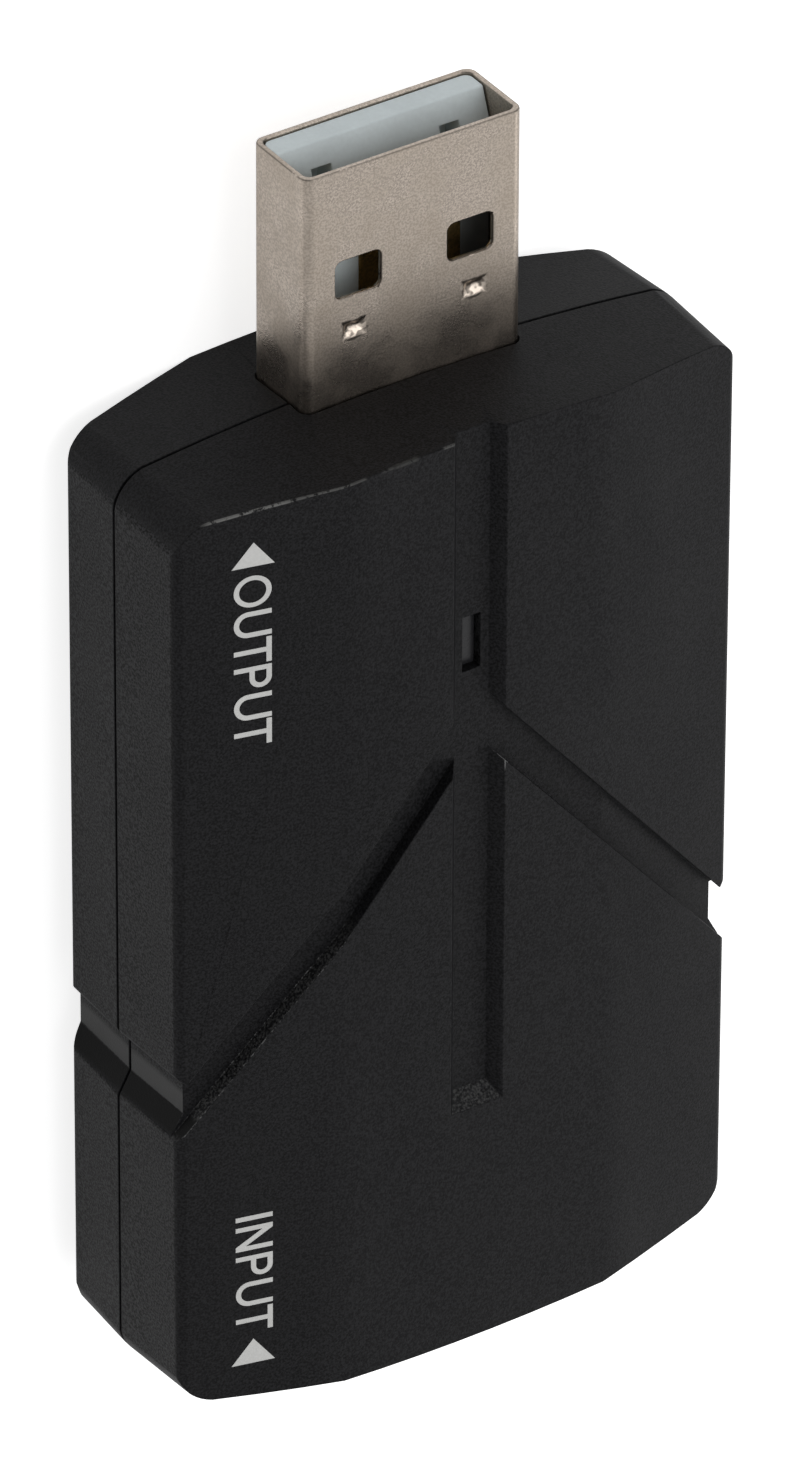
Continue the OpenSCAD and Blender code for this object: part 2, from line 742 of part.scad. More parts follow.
// A mounting ear, bent out from the shell's side and soldered to the board
module ear(y) {
    slant = socket_half - (socket_bevel + socket_sheet * (2 - sqrt(2)));
    x = min(socket_half, slant + board_z + socket_sheet + socket_up) - socket_sheet / 2;
    block([x, y - ear_length / 2, board_z],
        [socket_half + ear_reach, y + ear_length / 2, board_z + socket_sheet]);
}

// A socket contact: blade on the tongue, drop behind the block, foot on the board
module socket_contact(x, z, foot_z, room) {
    w = pin_width / 2 + room;
    y = socket_end + room;
    block([x - w, blade_y + pin_back - room, z - room], [x + w, y + pin_thick, z + pin_thick + room]);
    block([x - w, y, min(z, foot_z)], [x + w, y + pin_thick, max(z, foot_z) + pin_thick]);
    block([x - w, y, foot_z], [x + w, y + foot_length, foot_z + pin_thick]);
}

module upper_row(room) {
    for (i = [0:upper_pins - 1])
        socket_contact((i - (upper_pins - 1) / 2) * pin_pitch, blade_z + blade_thick / 2, board_z, room);
}

module lower_row(room) {
    for (i = [0:lower_pins - 1])
        socket_contact((i - (lower_pins - 1) / 2) * pin_pitch, blade_z - blade_thick / 2 - pin_thick,
            board_under - pin_thick, room);
}

module socket_insulator() {
    color([0.12, 0.12, 0.12]) place() difference() {
        union() {
            along_y(stop_y, socket_end) socket_outline(-block_fit);
            block([-blade_half, blade_y, blade_z - blade_thick / 2],
                [blade_half, stop_y + spare, blade_z + blade_thick / 2]);
        }
        upper_row(contact_fit);
        lower_row(contact_fit);
    }
}

module socket_upper_contacts() {
    color([0.83, 0.66, 0.3]) place() upper_row(0);
}

module socket_lower_contacts() {
    color([0.83, 0.66, 0.3]) place() lower_row(0);
}

module circuit_board() {
    slot = plug_sheet + 2 * notch_fit;
    color([0.05, 0.3, 0.18]) place() translate([0, 0, board_under]) linear_extrude(board_thick) difference() {
        translate([-board_half, board_low]) square([2 * board_half, board_high - board_low]);
        translate([-socket_half - notch_fit, 0]) square([2 * (socket_half + notch_fit), board_step]);
        for (side = [-1, 1])
            translate([side * (plug_width / 2 - plug_sheet / 2), plug_end - leg_length / 2])
                square([slot, leg_length + 2 * notch_fit], center = true);
        for (p = posts) translate(p) circle(r = pin_radius + hole_fit);
    }
}

// A component's body on the board, with its middle at p
module on_board(p, width, length, height) {
    block([p[0] - width / 2, p[1] - length / 2, board_z],
        [p[0] + width / 2, p[1] + length / 2, board_z + height]);
}

// A small two-ended component with metal caps
module capped(p, height) {
    cap = small_length / 5;
    on_board(p, small_length - 2 * cap, small_width - 2 * lead_thick / 2, height - lead_thick / 2);
    for (side = [-1, 1])
        on_board([p[0] + side * (small_length - cap) / 2, p[1]], cap, small_width, height);
}

// A body with leads along two sides
module leaded(p, width, length, height, count, pitch) {
    lift = lead_thick;
    translate([0, 0, lift]) on_board(p, width, length, height - lift);
    for (side = [-1, 1], i = [0:count - 1])
        on_board([p[0] + side * (width / 2 + lead_thick), p[1] + (i - (count - 1) / 2) * pitch],
            6 * lead_thick, 2.6 * lead_thick, 2 * lead_thick);
}

module capture_chip() {
    mark_reach = chip_width / 2 - 2 * mark_radius;
    color([0.1, 0.1, 0.11]) place() difference() {
        on_board(chip_at, chip_width, chip_width, chip_height);
        translate([chip_at[0] - mark_reach, chip_at[1] + mark_reach, board_z + chip_height - lead_thick])
            cylinder(h = spare, r = mark_radius);
    }
}

module memory_chip() {
    color([0.1, 0.1, 0.11]) place()
        leaded(memory_at, memory_width, memory_length, memory_height, 4, memory_pitch);
}

module crystal() {
    color([0.75, 0.74, 0.7]) place() {
        on_board(crystal_at, crystal_width, crystal_length, crystal_height / 2);
        on_board(crystal_at, crystal_width - 2 * lead_thick, crystal_length - 2 * lead_thick, crystal_height);
    }
}

module voltage_regulators() {
    color([0.1, 0.1, 0.11]) place() for (p = regulators_at)
        leaded(p, regulator_width, regulator_length, regulator_height, 3, regulator_pitch);
}

module power_coil() {
    color([0.25, 0.25, 0.26]) place() {
        on_board(coil_at, coil_width, coil_width, coil_height);
        for (side = [-1, 1])
            on_board([coil_at[0], coil_at[1] + side * coil_width / 2], coil_width / 2, 2 * lead_thick,
                coil_height / 2);
    }
}

module protection_arrays() {
    color([0.1, 0.1, 0.11]) place() for (p = arrays_at) on_board(p, array_width, array_depth, array_height);
}

module capacitors() {
    color([0.62, 0.5, 0.38]) place() for (p = capacitors_at) capped(p, capacitor_height);
}

module resistors() {
    color([0.08, 0.08, 0.08]) place() for (p = resistors_at) capped(p, resistor_height);
}

module status_lamp() {
    color([0.9, 0.9, 0.85]) place() capped([0, window_y], lamp_height);
}

front_shell();
rear_shell();
light_pipe();
plug_shell();
plug_insulator();
plug_power_contacts();
plug_data_contacts();
socket_shell();
socket_insulator();
socket_upper_contacts();
socket_lower_contacts();
circuit_board();
capture_chip();
memory_chip();
crystal();
voltage_regulators();
power_coil();
protection_arrays();
capacitors();
resistors();
status_lamp();
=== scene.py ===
"""Video capture box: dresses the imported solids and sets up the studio."""

import math

import bmesh
import bpy
from mathutils import Matrix, Vector


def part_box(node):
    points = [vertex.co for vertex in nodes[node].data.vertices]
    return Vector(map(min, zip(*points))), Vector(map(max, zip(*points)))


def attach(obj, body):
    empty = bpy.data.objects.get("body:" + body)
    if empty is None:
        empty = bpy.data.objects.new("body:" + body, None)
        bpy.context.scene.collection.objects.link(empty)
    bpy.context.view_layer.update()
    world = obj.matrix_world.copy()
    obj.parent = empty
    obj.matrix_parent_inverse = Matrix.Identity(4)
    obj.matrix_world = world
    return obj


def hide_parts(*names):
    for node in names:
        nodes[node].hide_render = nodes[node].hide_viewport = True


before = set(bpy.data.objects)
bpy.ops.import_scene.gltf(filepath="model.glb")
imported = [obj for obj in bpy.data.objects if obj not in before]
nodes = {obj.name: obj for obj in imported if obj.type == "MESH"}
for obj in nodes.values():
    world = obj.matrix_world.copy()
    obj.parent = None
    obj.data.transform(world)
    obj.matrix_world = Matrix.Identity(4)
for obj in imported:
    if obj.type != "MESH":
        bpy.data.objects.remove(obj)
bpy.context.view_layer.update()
scene = bpy.context.scene
MM = 0.001

# The case's own measures: y from the socket end, z from the parting line, in mm
PLUG_TIP_Y = 63.95
REAR_HEIGHT = 6.35
FRONT_HEIGHT = 6.9
Y_SHIFT = PLUG_TIP_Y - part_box("plug_shell")[1][1] / MM
CASE_LENGTH, END_RADIUS, END_DRAFT = 51.6, 115.0, math.radians(2.6)

# The front's facets: their inner and outer lines, and their fall between the two
FACET_HALF, SIDE_HEIGHT = 7.4, 5.0
SIDE_HALF = 15.65 - SIDE_HEIGHT * math.tan(math.radians(1.5))
FACET_FALL = (FRONT_HEIGHT - SIDE_HEIGHT) / (SIDE_HALF - FACET_HALF)


def at(x, y, z):
    """A place in the case's own measures, in the part's frame."""
    return Vector((x * MM, (y - Y_SHIFT) * MM, (z + REAR_HEIGHT) * MM))


# ---------------------------------------------------------------- camera

CAMERA_ANGLES = (-33.4862, 33.6153, 0.2325)
CAMERA_AIM, CAMERA_AWAY = (0.1408, 30.9567, 0), 0.70791
FOCAL_PIXELS, PHOTO_HEIGHT, SENSOR = 15078.9, 1466, 36


def studio_camera():
    """The photo's view, with its angles as turn, tilt and roll in degrees."""
    az, el, roll = (math.radians(v) for v in CAMERA_ANGLES)
    right = Vector((math.cos(az), 0, -math.sin(az)))
    up = Vector((-math.sin(az) * math.sin(el), math.cos(el), -math.cos(az) * math.sin(el)))
    back = Vector((math.sin(az) * math.cos(el), math.sin(el), math.cos(az) * math.cos(el)))
    across = right * math.cos(roll) + up * math.sin(roll)
    upward = up * math.cos(roll) - right * math.sin(roll)
    cam = bpy.data.cameras.new("studio_camera")
    cam.lens = FOCAL_PIXELS * SENSOR / PHOTO_HEIGHT
    cam.sensor_width = SENSOR
    cam.clip_start = 0.01
    obj = bpy.data.objects.new("studio_camera", cam)
    place = at(*CAMERA_AIM) + back * CAMERA_AWAY
    turn = Matrix((across, upward, back)).transposed()
    obj.matrix_world = Matrix.Translation(place) @ turn.to_4x4()
    scene.collection.objects.link(obj)
    scene.camera = obj


# ---------------------------------------------------------------- node helpers

def add(tree, kind, sockets=None, **settings):
    """A shader node, with its settings and its sockets set or linked."""
    node = tree.nodes.new(kind)
    for key, value in settings.items():
        setattr(node, key, value)
    for key, value in (sockets or {}).items():
        if isinstance(value, bpy.types.NodeSocket):
            tree.links.new(value, node.inputs[key])
        else:
            node.inputs[key].default_value = value
    return node


def math_node(tree, operation, *values, clamp=False):
    sockets = dict(enumerate(values))
    return add(tree, "ShaderNodeMath", sockets, operation=operation, use_clamp=clamp).outputs[0]


def times(tree, *factors):
    product = factors[0]
    for factor in factors[1:]:
        product = math_node(tree, "MULTIPLY", product, factor)
    return product


def remap(tree, value, low, high, to_low=0.0, to_high=1.0):
    sockets = {"Value": value, "From Min": low, "From Max": high, "To Min": to_low, "To Max": to_high}
    return add(tree, "ShaderNodeMapRange", sockets, interpolation_type="SMOOTHSTEP").outputs[0]


def blend_color(tree, mask, under, over):
    """The under colour, covered by the over colour where the mask is 1."""
    mix = add(tree, "ShaderNodeMix", data_type="RGBA")
    for index, value in ((0, mask), (6, under), (7, over)):
        if isinstance(value, bpy.types.NodeSocket):
            tree.links.new(value, mix.inputs[index])
        else:
            mix.inputs[index].default_value = value if index == 0 else (*value, 1)
    return mix.outputs[2]


def grey(level):
    return (level, level, level)


def scaled(color, factor):
    return tuple(min(c * factor, 1) for c in color)


def object_place(tree):
    return add(tree, "ShaderNodeTexCoord").outputs["Object"]


def edge_share(tree):
    return add(tree, "ShaderNodeAttribute", attribute_name="edge").outputs["Fac"]


def new_group(name, inputs, outputs):
    """An empty shader node group with named float or vector sockets."""
    tree = bpy.data.node_groups.new(name, "ShaderNodeTree")
    for label, kind, value in inputs:
        socket = tree.interface.new_socket(label, in_out="INPUT", socket_type=kind)
        socket.default_value = value
    for label, kind in outputs:
        tree.interface.new_socket(label, in_out="OUTPUT", socket_type=kind)
    return tree, tree.nodes.new("NodeGroupInput").outputs, tree.nodes.new("NodeGroupOutput").inputs


def use_group(tree, group, sockets):
    return add(tree, "ShaderNodeGroup", sockets, node_tree=group).outputs


FLOAT, VECTOR = "NodeSocketFloat", "NodeSocketVector"


# ---------------------------------------------------------------- shared effects

def make_moulded_grain():
    """Fine bumps of an eroded mould: height for the bump, and a soft tone."""
    tree, inside, out = new_group(
        "moulded_grain", [("Grains per metre", FLOAT, 7000.0)], [("Height", FLOAT), ("Tone", FLOAT)])
    place = object_place(tree)
    fine = add(tree, "ShaderNodeTexNoise", {
        "Vector": place, "Scale": inside["Grains per metre"], "Detail": 2.0, "Roughness": 0.55})
    coarse_scale = math_node(tree, "MULTIPLY", inside["Grains per metre"], 0.8)
    coarse = add(tree, "ShaderNodeTexNoise", {"Vector": place, "Scale": coarse_scale, "Detail": 1.0})
    tree.links.new(fine.outputs[0], out["Height"])
    tree.links.new(coarse.outputs[0], out["Tone"])
    return tree


def make_handling():
    """Cloudy marks of handling, a few millimetres across."""
    tree, inside, out = new_group("handling", [("Marks per metre", FLOAT, 220.0)], [("Mask", FLOAT)])
    noise = add(tree, "ShaderNodeTexNoise", {
        "Vector": object_place(tree), "Scale": inside["Marks per metre"], "Detail": 4.0, "Roughness": 0.6})
    tree.links.new(remap(tree, noise.outputs[0], 0.32, 0.7), out["Mask"])
    return tree


def make_dust():
    """Sparse pale specks."""
    tree, inside, out = new_group(
        "dust", [("Specks per metre", FLOAT, 900.0), ("Cover", FLOAT, 0.05), ("Size", FLOAT, 0.1)],
        [("Mask", FLOAT)])
    cells = add(tree, "ShaderNodeTexVoronoi", {
        "Vector": object_place(tree), "Scale": inside["Specks per metre"], "Randomness": 1.0})
    chosen = math_node(tree, "LESS_THAN", cells.outputs["Color"], inside["Cover"])
    dot = math_node(tree, "LESS_THAN", cells.outputs["Distance"], inside["Size"])
    tree.links.new(math_node(tree, "MULTIPLY", chosen, dot), out["Mask"])
    return tree


def make_edge_wear():
    """Rubbed edges: the piece's edge attribute, broken up by patches, which on the metals also serve as
    painted highlights.
    """
    tree, inside, out = new_group(
        "edge_wear_and_glint", [("Patches per metre", FLOAT, 1500.0), ("Rubbed", FLOAT, 0.4)],
        [("Mask", FLOAT), ("Patches", FLOAT)])
    noise = add(tree, "ShaderNodeTexNoise", {
        "Vector": object_place(tree), "Scale": inside["Patches per metre"], "Detail": 3.0, "Roughness": 0.7})
    bare = math_node(tree, "SUBTRACT", 1.0, inside["Rubbed"])
    over = math_node(tree, "ADD", bare, 0.12)
    patches = remap(tree, noise.outputs[0], bare, over)
    tree.links.new(math_node(tree, "MULTIPLY", edge_share(tree), patches, clamp=True), out["Mask"])
    tree.links.new(patches, out["Patches"])
    return tree


def make_near_spot():
    """1 at a spot of the piece, falling to 0 at its reach along each axis."""
    tree, inside, out = new_group(
        "near_spot", [("Spot", VECTOR, (0, 0, 0)), ("Reach", VECTOR, (0.001, 0.001, 0.001))],
        [("Mask", FLOAT)])
    away = add(tree, "ShaderNodeVectorMath", {0: object_place(tree), 1: inside["Spot"]}, operation="SUBTRACT")
    share = add(tree, "ShaderNodeVectorMath", {0: away.outputs[0], 1: inside["Reach"]}, operation="DIVIDE")
    length = add(tree, "ShaderNodeVectorMath", {0: share.outputs[0]}, operation="LENGTH")
    tree.links.new(remap(tree, length.outputs["Value"], 1.0, 0.6), out["Mask"])
    return tree


def make_beside_brink():
    """1 within reach of the brink where the front faces meet the bowed plug end."""
    tree, inside, out = new_group("beside_brink", [("Reach", FLOAT, 0.0001)], [("Mask", FLOAT)])
    place = add(tree, "ShaderNodeSeparateXYZ", {0: object_place(tree)}).outputs
    high = math_node(tree, "SUBTRACT", place["Z"], at(0, 0, 0).z)
    across = math_node(tree, "MULTIPLY", place["X"], place["X"])
    bow = math_node(tree, "SUBTRACT", END_RADIUS * MM, math_node(tree, "MULTIPLY", high, math.tan(END_DRAFT)))
    bow = math_node(tree, "SQRT", math_node(tree, "SUBTRACT", math_node(tree, "MULTIPLY", bow, bow), across))
    bow = math_node(tree, "ADD", bow, at(0, CASE_LENGTH - END_RADIUS, 0).y)
    inward = math_node(tree, "ABSOLUTE", math_node(tree, "SUBTRACT", place["Y"], bow))
    beyond = math_node(tree, "SUBTRACT", math_node(tree, "ABSOLUTE", place["X"]), FACET_HALF * MM)
    fall = math_node(tree, "MULTIPLY", math_node(tree, "MAXIMUM", beyond, 0.0), FACET_FALL)
    top = math_node(tree, "SUBTRACT", FRONT_HEIGHT * MM, fall)
    below = math_node(tree, "ABSOLUTE", math_node(tree, "SUBTRACT", top, high))
    share = math_node(tree, "DIVIDE", math_node(tree, "MAXIMUM", inward, below), inside["Reach"])
    tree.links.new(remap(tree, share, 1.0, 0.6), out["Mask"])
    return tree


def make_beside_arm():
    """1 along a slanting arm of the case's channel, on the left half."""
    tree, inside, out = new_group(
        "beside_arm", [("Start", FLOAT, 0.0), ("Fall", FLOAT, 1.18), ("Reach", FLOAT, 0.001)],
        [("Mask", FLOAT)])
    place = add(tree, "ShaderNodeSeparateXYZ", {0: object_place(tree)}).outputs
    sunk = math_node(tree, "MULTIPLY", place["X"], inside["Fall"])
    away = math_node(tree, "SUBTRACT", math_node(tree, "SUBTRACT", place["Y"], inside["Start"]), sunk)
    share = math_node(tree, "DIVIDE", math_node(tree, "ABSOLUTE", away), inside["Reach"])
    tree.links.new(remap(tree, share, 1.0, 0.8), out["Mask"])
    return tree


def make_facing():
    """1 where the surface faces a way, at least as closely as the given cosine."""
    tree, inside, out = new_group(
        "facing", [("Way", VECTOR, (0, 0, 1)), ("Least", FLOAT, 0.5)], [("Mask", FLOAT)])
    normal = add(tree, "ShaderNodeNewGeometry").outputs["True Normal"]
    lean = add(tree, "ShaderNodeVectorMath", {0: normal, 1: inside["Way"]}, operation="DOT_PRODUCT")
    above = math_node(tree, "GREATER_THAN", lean.outputs["Value"], inside["Least"])
    tree.links.new(above, out["Mask"])
    return tree


grain = make_moulded_grain()
handling = make_handling()
dust = make_dust()
edge_wear_and_glint = make_edge_wear()
near_spot = make_near_spot()
beside_brink = make_beside_brink()
beside_arm = make_beside_arm()
facing = make_facing()


def spot_mask(tree, spot, reach):
    """Mask around a place of the case, in its own measures."""
    return use_group(tree, near_spot, {"Spot": at(*spot), "Reach": Vector(reach) * MM})["Mask"]


def facing_mask(tree, way, least):
    return use_group(tree, facing, {"Way": way, "Least": least})["Mask"]


def wear(tree, patches, rubbed):
    return use_group(tree, edge_wear_and_glint, {"Patches per metre": patches, "Rubbed": rubbed})


# ---------------------------------------------------------------- materials

def new_material(name, color, rough, metal=0.0, specular=0.5):
    mat = bpy.data.materials.new(name)
    mat.use_nodes = True
    shader = mat.node_tree.nodes["Principled BSDF"]
    shader.inputs["Base Color"].default_value = (*color, 1)
    shader.inputs["Roughness"].default_value = rough
    shader.inputs["Metallic"].default_value = metal
    shader.inputs["Specular IOR Level"].default_value = specular
    return mat, mat.node_tree, shader


def bumpy(tree, shader, height, depth, strength):
    bump = add(tree, "ShaderNodeBump", {"Height": height, "Distance": depth, "Strength": strength})
    tree.links.new(bump.outputs[0], shader.inputs["Normal"])


# Where handling has rubbed the plug end's brink: middle and half length across the case, reach and tone
WORN_BRINK = ((-12.0, 3.0, 0.13, 0.17), (-8.4, 2.2, 0.1, 0.1), (-6.7, 0.5, 0.11, 0.07),
              (-5.1, 0.4, 0.13, 0.05), (-4.1, 0.8, 0.2, 0.045), (-1.75, 0.4, 0.12, 0.08))
WORN_TIP = ((1.15, 32.9, 6.7), (0.75, 0.95, 0.5))
ARM_START, ARM_FALL = 34.55, math.tan(math.radians(49.65))


def make_case_plastic():
    """Black moulded plastic, worn along its brinks, with painted light and shade: a stronger mottle on its
    sides, highlights on the left arm's lower wall and the channel's foot ramp, and a paler floor and dark
    ramp in each side notch.
    """
    mat, tree, shader = new_material("case_plastic", (0.012, 0.012, 0.013), 0.46, specular=0.09)
    skin = use_group(tree, grain, {"Grains per metre": 11000.0})
    marks = use_group(tree, handling, {"Marks per metre": 190.0})["Mask"]
    tone = blend_color(
        tree, remap(tree, skin["Tone"], 0.3, 0.7), (0.005, 0.005, 0.0055), (0.018, 0.018, 0.0196))

    # The side walls get a stronger, lighter mottle: painted light and shade standing in for the light playing
    # on their grain
    painted_grain_shade = blend_color(tree, remap(tree, skin["Tone"], 0.34, 0.66), (0, 0, 0), (0.033, 0.033, 0.035))
    for side in (-1, 1):
        tone = blend_color(tree, facing_mask(tree, (side, 0, 0), 0.95), tone, painted_grain_shade)

    tone = blend_color(tree, times(tree, marks, 0.08), tone, (0.018, 0.0178, 0.0175))
    rubbed = wear(tree, 1400.0, 0.4)["Mask"]
    tone = blend_color(tree, times(tree, rubbed, 0.15), tone, grey(0.06))

    # The brink of the plug end is worn along a thin line
    worn = wear(tree, 2600.0, 0.62)["Patches"]
    for middle, length, reach, pale in WORN_BRINK:
        near = spot_mask(tree, (middle, 51.3, 6.2), (length, 3, 3))
        brink = use_group(tree, beside_brink, {"Reach": reach * MM})["Mask"]
        tone = blend_color(tree, times(tree, near, brink, worn), tone, (pale, pale, pale * 0.97))

    # The left arm's lower wall gets a painted highlight, broken into flecks, and its brink is dotted with
    # wear
    arm = use_group(tree, beside_arm, {
        "Start": (ARM_START - Y_SHIFT) * MM, "Fall": ARM_FALL, "Reach": 0.75 * MM})["Mask"]
    place = add(tree, "ShaderNodeSeparateXYZ", {0: object_place(tree)}).outputs
    outer = remap(tree, place["X"], -6.2 * MM, -8.2 * MM)
    wall = facing_mask(tree, (-0.647, 0.762, 0), 0.8)
    high = remap(tree, place["Z"], at(0, 0, 4.1).z, at(0, 0, 4.6).z)
    flecks = add(tree, "ShaderNodeTexNoise", {
        "Vector": object_place(tree), "Scale": 7500.0, "Detail": 2.0, "Roughness": 0.6}).outputs[0]
    flecks = remap(tree, flecks, 0.4, 0.68)
    # Painted highlight on the left arm's lower wall
    tone = blend_color(tree, times(tree, arm, wall, outer, high, flecks), tone, grey(0.075))

    # A painted highlight on the ramp at the channel's foot, broken by the same mottling
    ramp = facing_mask(tree, (0, 0.594, 0.805), 0.985)
    foot = spot_mask(tree, (0, 14.1, 6.5), (3, 1.6, 1.5))
    tone = blend_color(tree, times(tree, ramp, foot, flecks), tone, grey(0.06))
    dotted = wear(tree, 4200.0, 0.5)["Mask"]
    high = remap(tree, place["Z"], at(0, 0, 4.4).z, at(0, 0, 4.9).z)
    tone = blend_color(tree, times(tree, dotted, arm, outer, high, 0.8), tone, grey(0.2))

    # The side notches: a painted reflection makes the floor paler, and painted shade makes the ramp dark
    for side in (-1, 1):
        floor = spot_mask(tree, (side * 14.9, 17.75, 0), (0.42, 1.25, 20))
        flat = facing_mask(tree, (side, 0, 0.03), 0.99)
        tone = blend_color(tree, times(tree, floor, flat), tone, grey(0.066))
        ramp = spot_mask(tree, (side * 15.2, 17.05, 0), (1, 0.8, 20))
        slant = facing_mask(tree, (side * 0.83, 0.55, 0.02), 0.97)
        tone = blend_color(tree, times(tree, ramp, slant), tone, grey(0.003))

    # The tip between the channel and the right arm is rubbed bright
    bright = times(tree, wear(tree, 3000.0, 0.62)["Mask"], spot_mask(tree, *WORN_TIP))
    tone = blend_color(tree, bright, tone, grey(0.22))

    specks = use_group(tree, dust, {"Specks per metre": 750.0, "Cover": 0.035, "Size": 0.085})["Mask"]
    tone = blend_color(tree, times(tree, specks, 0.3), tone, (0.22, 0.22, 0.21))
    tree.links.new(tone, shader.inputs["Base Color"])
    tree.links.new(remap(tree, marks, 0.0, 1.0, 0.49, 0.46), shader.inputs["Roughness"])
    bumpy(tree, shader, skin["Height"], 0.03 * MM, 0.6)
    return mat


SMEAR = (0.8, 0.78, 0.74)


def make_metal(name, color, rough, grains, depth, stamps=()):
    """Plated sheet: a sandy surface with faint marks, painted shade along its edges, rubbed patches painted
    bright as highlights, and rough stamped spots with painted shade and glints.
    """
    mat, tree, shader = new_material(name, color, rough, 1.0)
    skin = use_group(tree, grain, {"Grains per metre": grains})
    marks = use_group(tree, handling, {"Marks per metre": 330.0})["Mask"]
    dull = tuple(c * s for c, s in zip(color, SMEAR))
    tone = blend_color(tree, remap(tree, skin["Tone"], 0.34, 0.66), scaled(color, 0.8), scaled(color, 1.18))
    tone = blend_color(tree, times(tree, marks, 0.5), tone, dull)
    # Painted shade: the edges are darkened as if they reflected the dark surroundings
    tone = blend_color(tree, times(tree, edge_share(tree), 0.9), tone, scaled(color, 0.22))
    # Rubbed patches along the edges, painted brighter as edge highlights
    tone = blend_color(tree, times(tree, wear(tree, 1300.0, 0.42)["Mask"], 0.7), tone, scaled(color, 1.5))
    height = skin["Height"]
    dents_and_glints = add(tree, "ShaderNodeTexNoise", {
        "Vector": object_place(tree), "Scale": 2600.0, "Detail": 1.0, "Roughness": 0.5}).outputs[0]
    # At the stamped catches: painted shade darkens the spot and painted glints brighten patches of it, while
    # the dents roughen the bump
    for spot, reach in stamps:
        near = spot_mask(tree, spot, reach)
        pale = times(tree, near, remap(tree, dents_and_glints, 0.44, 0.56))
        tone = blend_color(tree, times(tree, near, 0.75), tone, scaled(color, 0.3))
        tone = blend_color(tree, pale, tone, scaled(color, 1.55))
        height = math_node(tree, "ADD", height, times(tree, near, times(tree, dents_and_glints, 5.0)))
    tree.links.new(tone, shader.inputs["Base Color"])
    tree.links.new(remap(tree, marks, 0.0, 1.0, rough, rough + 0.1), shader.inputs["Roughness"])
    bumpy(tree, shader, height, depth, 0.6)
    return mat


def make_moulding(name, color, rough, grains=6000.0, depth=0.006 * MM, shade=0.8, specular=0.5, painted_shade_spots=()):
    """Plain moulded plastic or resin, with a fine grain, faint specks and spots of painted shade."""
    mat, tree, shader = new_material(name, color, rough, specular=specular)
    skin = use_group(tree, grain, {"Grains per metre": grains})
    marks = use_group(tree, handling, {"Marks per metre": 420.0})["Mask"]
    tone = blend_color(tree, skin["Tone"], scaled(color, shade), scaled(color, 1 / shade))
    tone = blend_color(tree, times(tree, marks, 0.35), tone, scaled(color, 0.82))
    specks = use_group(tree, dust, {"Specks per metre": 1100.0, "Cover": 0.03, "Size": 0.08})["Mask"]
    tone = blend_color(tree, times(tree, specks, 0.4), tone, (0.3, 0.28, 0.25))
    # Painted shade: darkens the given spots where the part lies in shadow
    for spot, reach in painted_shade_spots:
        tone = blend_color(tree, times(tree, spot_mask(tree, spot, reach), 0.9), tone, (0.035, 0.033, 0.03))
    tree.links.new(tone, shader.inputs["Base Color"])
    tree.links.new(remap(tree, marks, 0.0, 1.0, rough, rough + 0.08), shader.inputs["Roughness"])
    bumpy(tree, shader, skin["Height"], depth, 0.5)
    return mat


def make_board_laminate():
    """Glass cloth under a green lacquer, with paler copper runs."""
    mat, tree, shader = new_material("board_laminate", (0.008, 0.05, 0.03), 0.35)
    place = object_place(tree)
    runs = add(tree, "ShaderNodeTexBrick", {
        "Vector": place, "Color1": (0.006, 0.04, 0.022, 1), "Color2": (0.008, 0.05, 0.028, 1),
        "Mortar": (0.02, 0.11, 0.06, 1), "Scale": 420.0, "Mortar Size": 0.05, "Mortar Smooth": 0.2})
    tree.links.new(runs.outputs["Color"], shader.inputs["Base Color"])
    marks = use_group(tree, handling, {"Marks per metre": 300.0})["Mask"]
    tree.links.new(remap(tree, marks, 0.0, 1.0, 0.28, 0.42), shader.inputs["Roughness"])
    cloth = add(tree, "ShaderNodeTexWave", {"Vector": place, "Scale": 700.0, "Distortion": 1.0})
    bumpy(tree, shader, cloth.outputs["Fac"], 0.01 * MM, 0.3)
    return mat


case_plastic = make_case_plastic()
lens_plastic = make_moulding("lens_plastic", (0.016, 0.016, 0.018), 0.22, specular=0.4)
plug_steel = make_metal(
    "plug_steel", (0.5, 0.434, 0.373), 0.26, 12000.0, 0.012 * MM,
    stamps=[((side * 3.3, 55.2, 1.2), (0.85, 0.62, 0.5)) for side in (-1, 1)])
socket_steel = make_metal("socket_steel", (0.62, 0.6, 0.56), 0.28, 6000.0, 0.006 * MM)
contact_gold = make_metal("contact_gold", (0.78, 0.56, 0.24), 0.26, 9000.0, 0.003 * MM)
tinned = make_metal("tinned_ends", (0.68, 0.67, 0.64), 0.34, 9000.0, 0.004 * MM)
# The right of the tongue, deep inside the plug, gets painted shade
plug_plastic = make_moulding(
    "plug_plastic", (0.84, 0.93, 0.95), 0.38, shade=0.95, painted_shade_spots=[((4.9, 56.4, -1.0), (1.5, 3.0, 1.0))])
black_resin = make_moulding("black_resin", (0.012, 0.012, 0.0125), 0.5, specular=0.35)
ceramic = make_moulding("ceramic", (0.34, 0.25, 0.16), 0.5, 9000.0)
lamp_resin = make_moulding("lamp_resin", (0.7, 0.68, 0.58), 0.2, shade=0.93)
board_laminate = make_board_laminate()
label_print = make_moulding("label_print", (0.67, 0.67, 0.655), 0.6, 9000.0, 0.004 * MM, 0.9)


# ---------------------------------------------------------------- pieces from the solids

SHARP_ANGLE, SHADE_ANGLE, FLAT_ANGLE, FOLD_ANGLE = (math.radians(v) for v in (24, 30, 0.4, 150))
CASE_HALVES = ("front_shell", "rear_shell")


def edges_over(bm, angle):
    return [e for e in bm.edges if e.is_manifold and e.calc_face_angle(0) > angle]


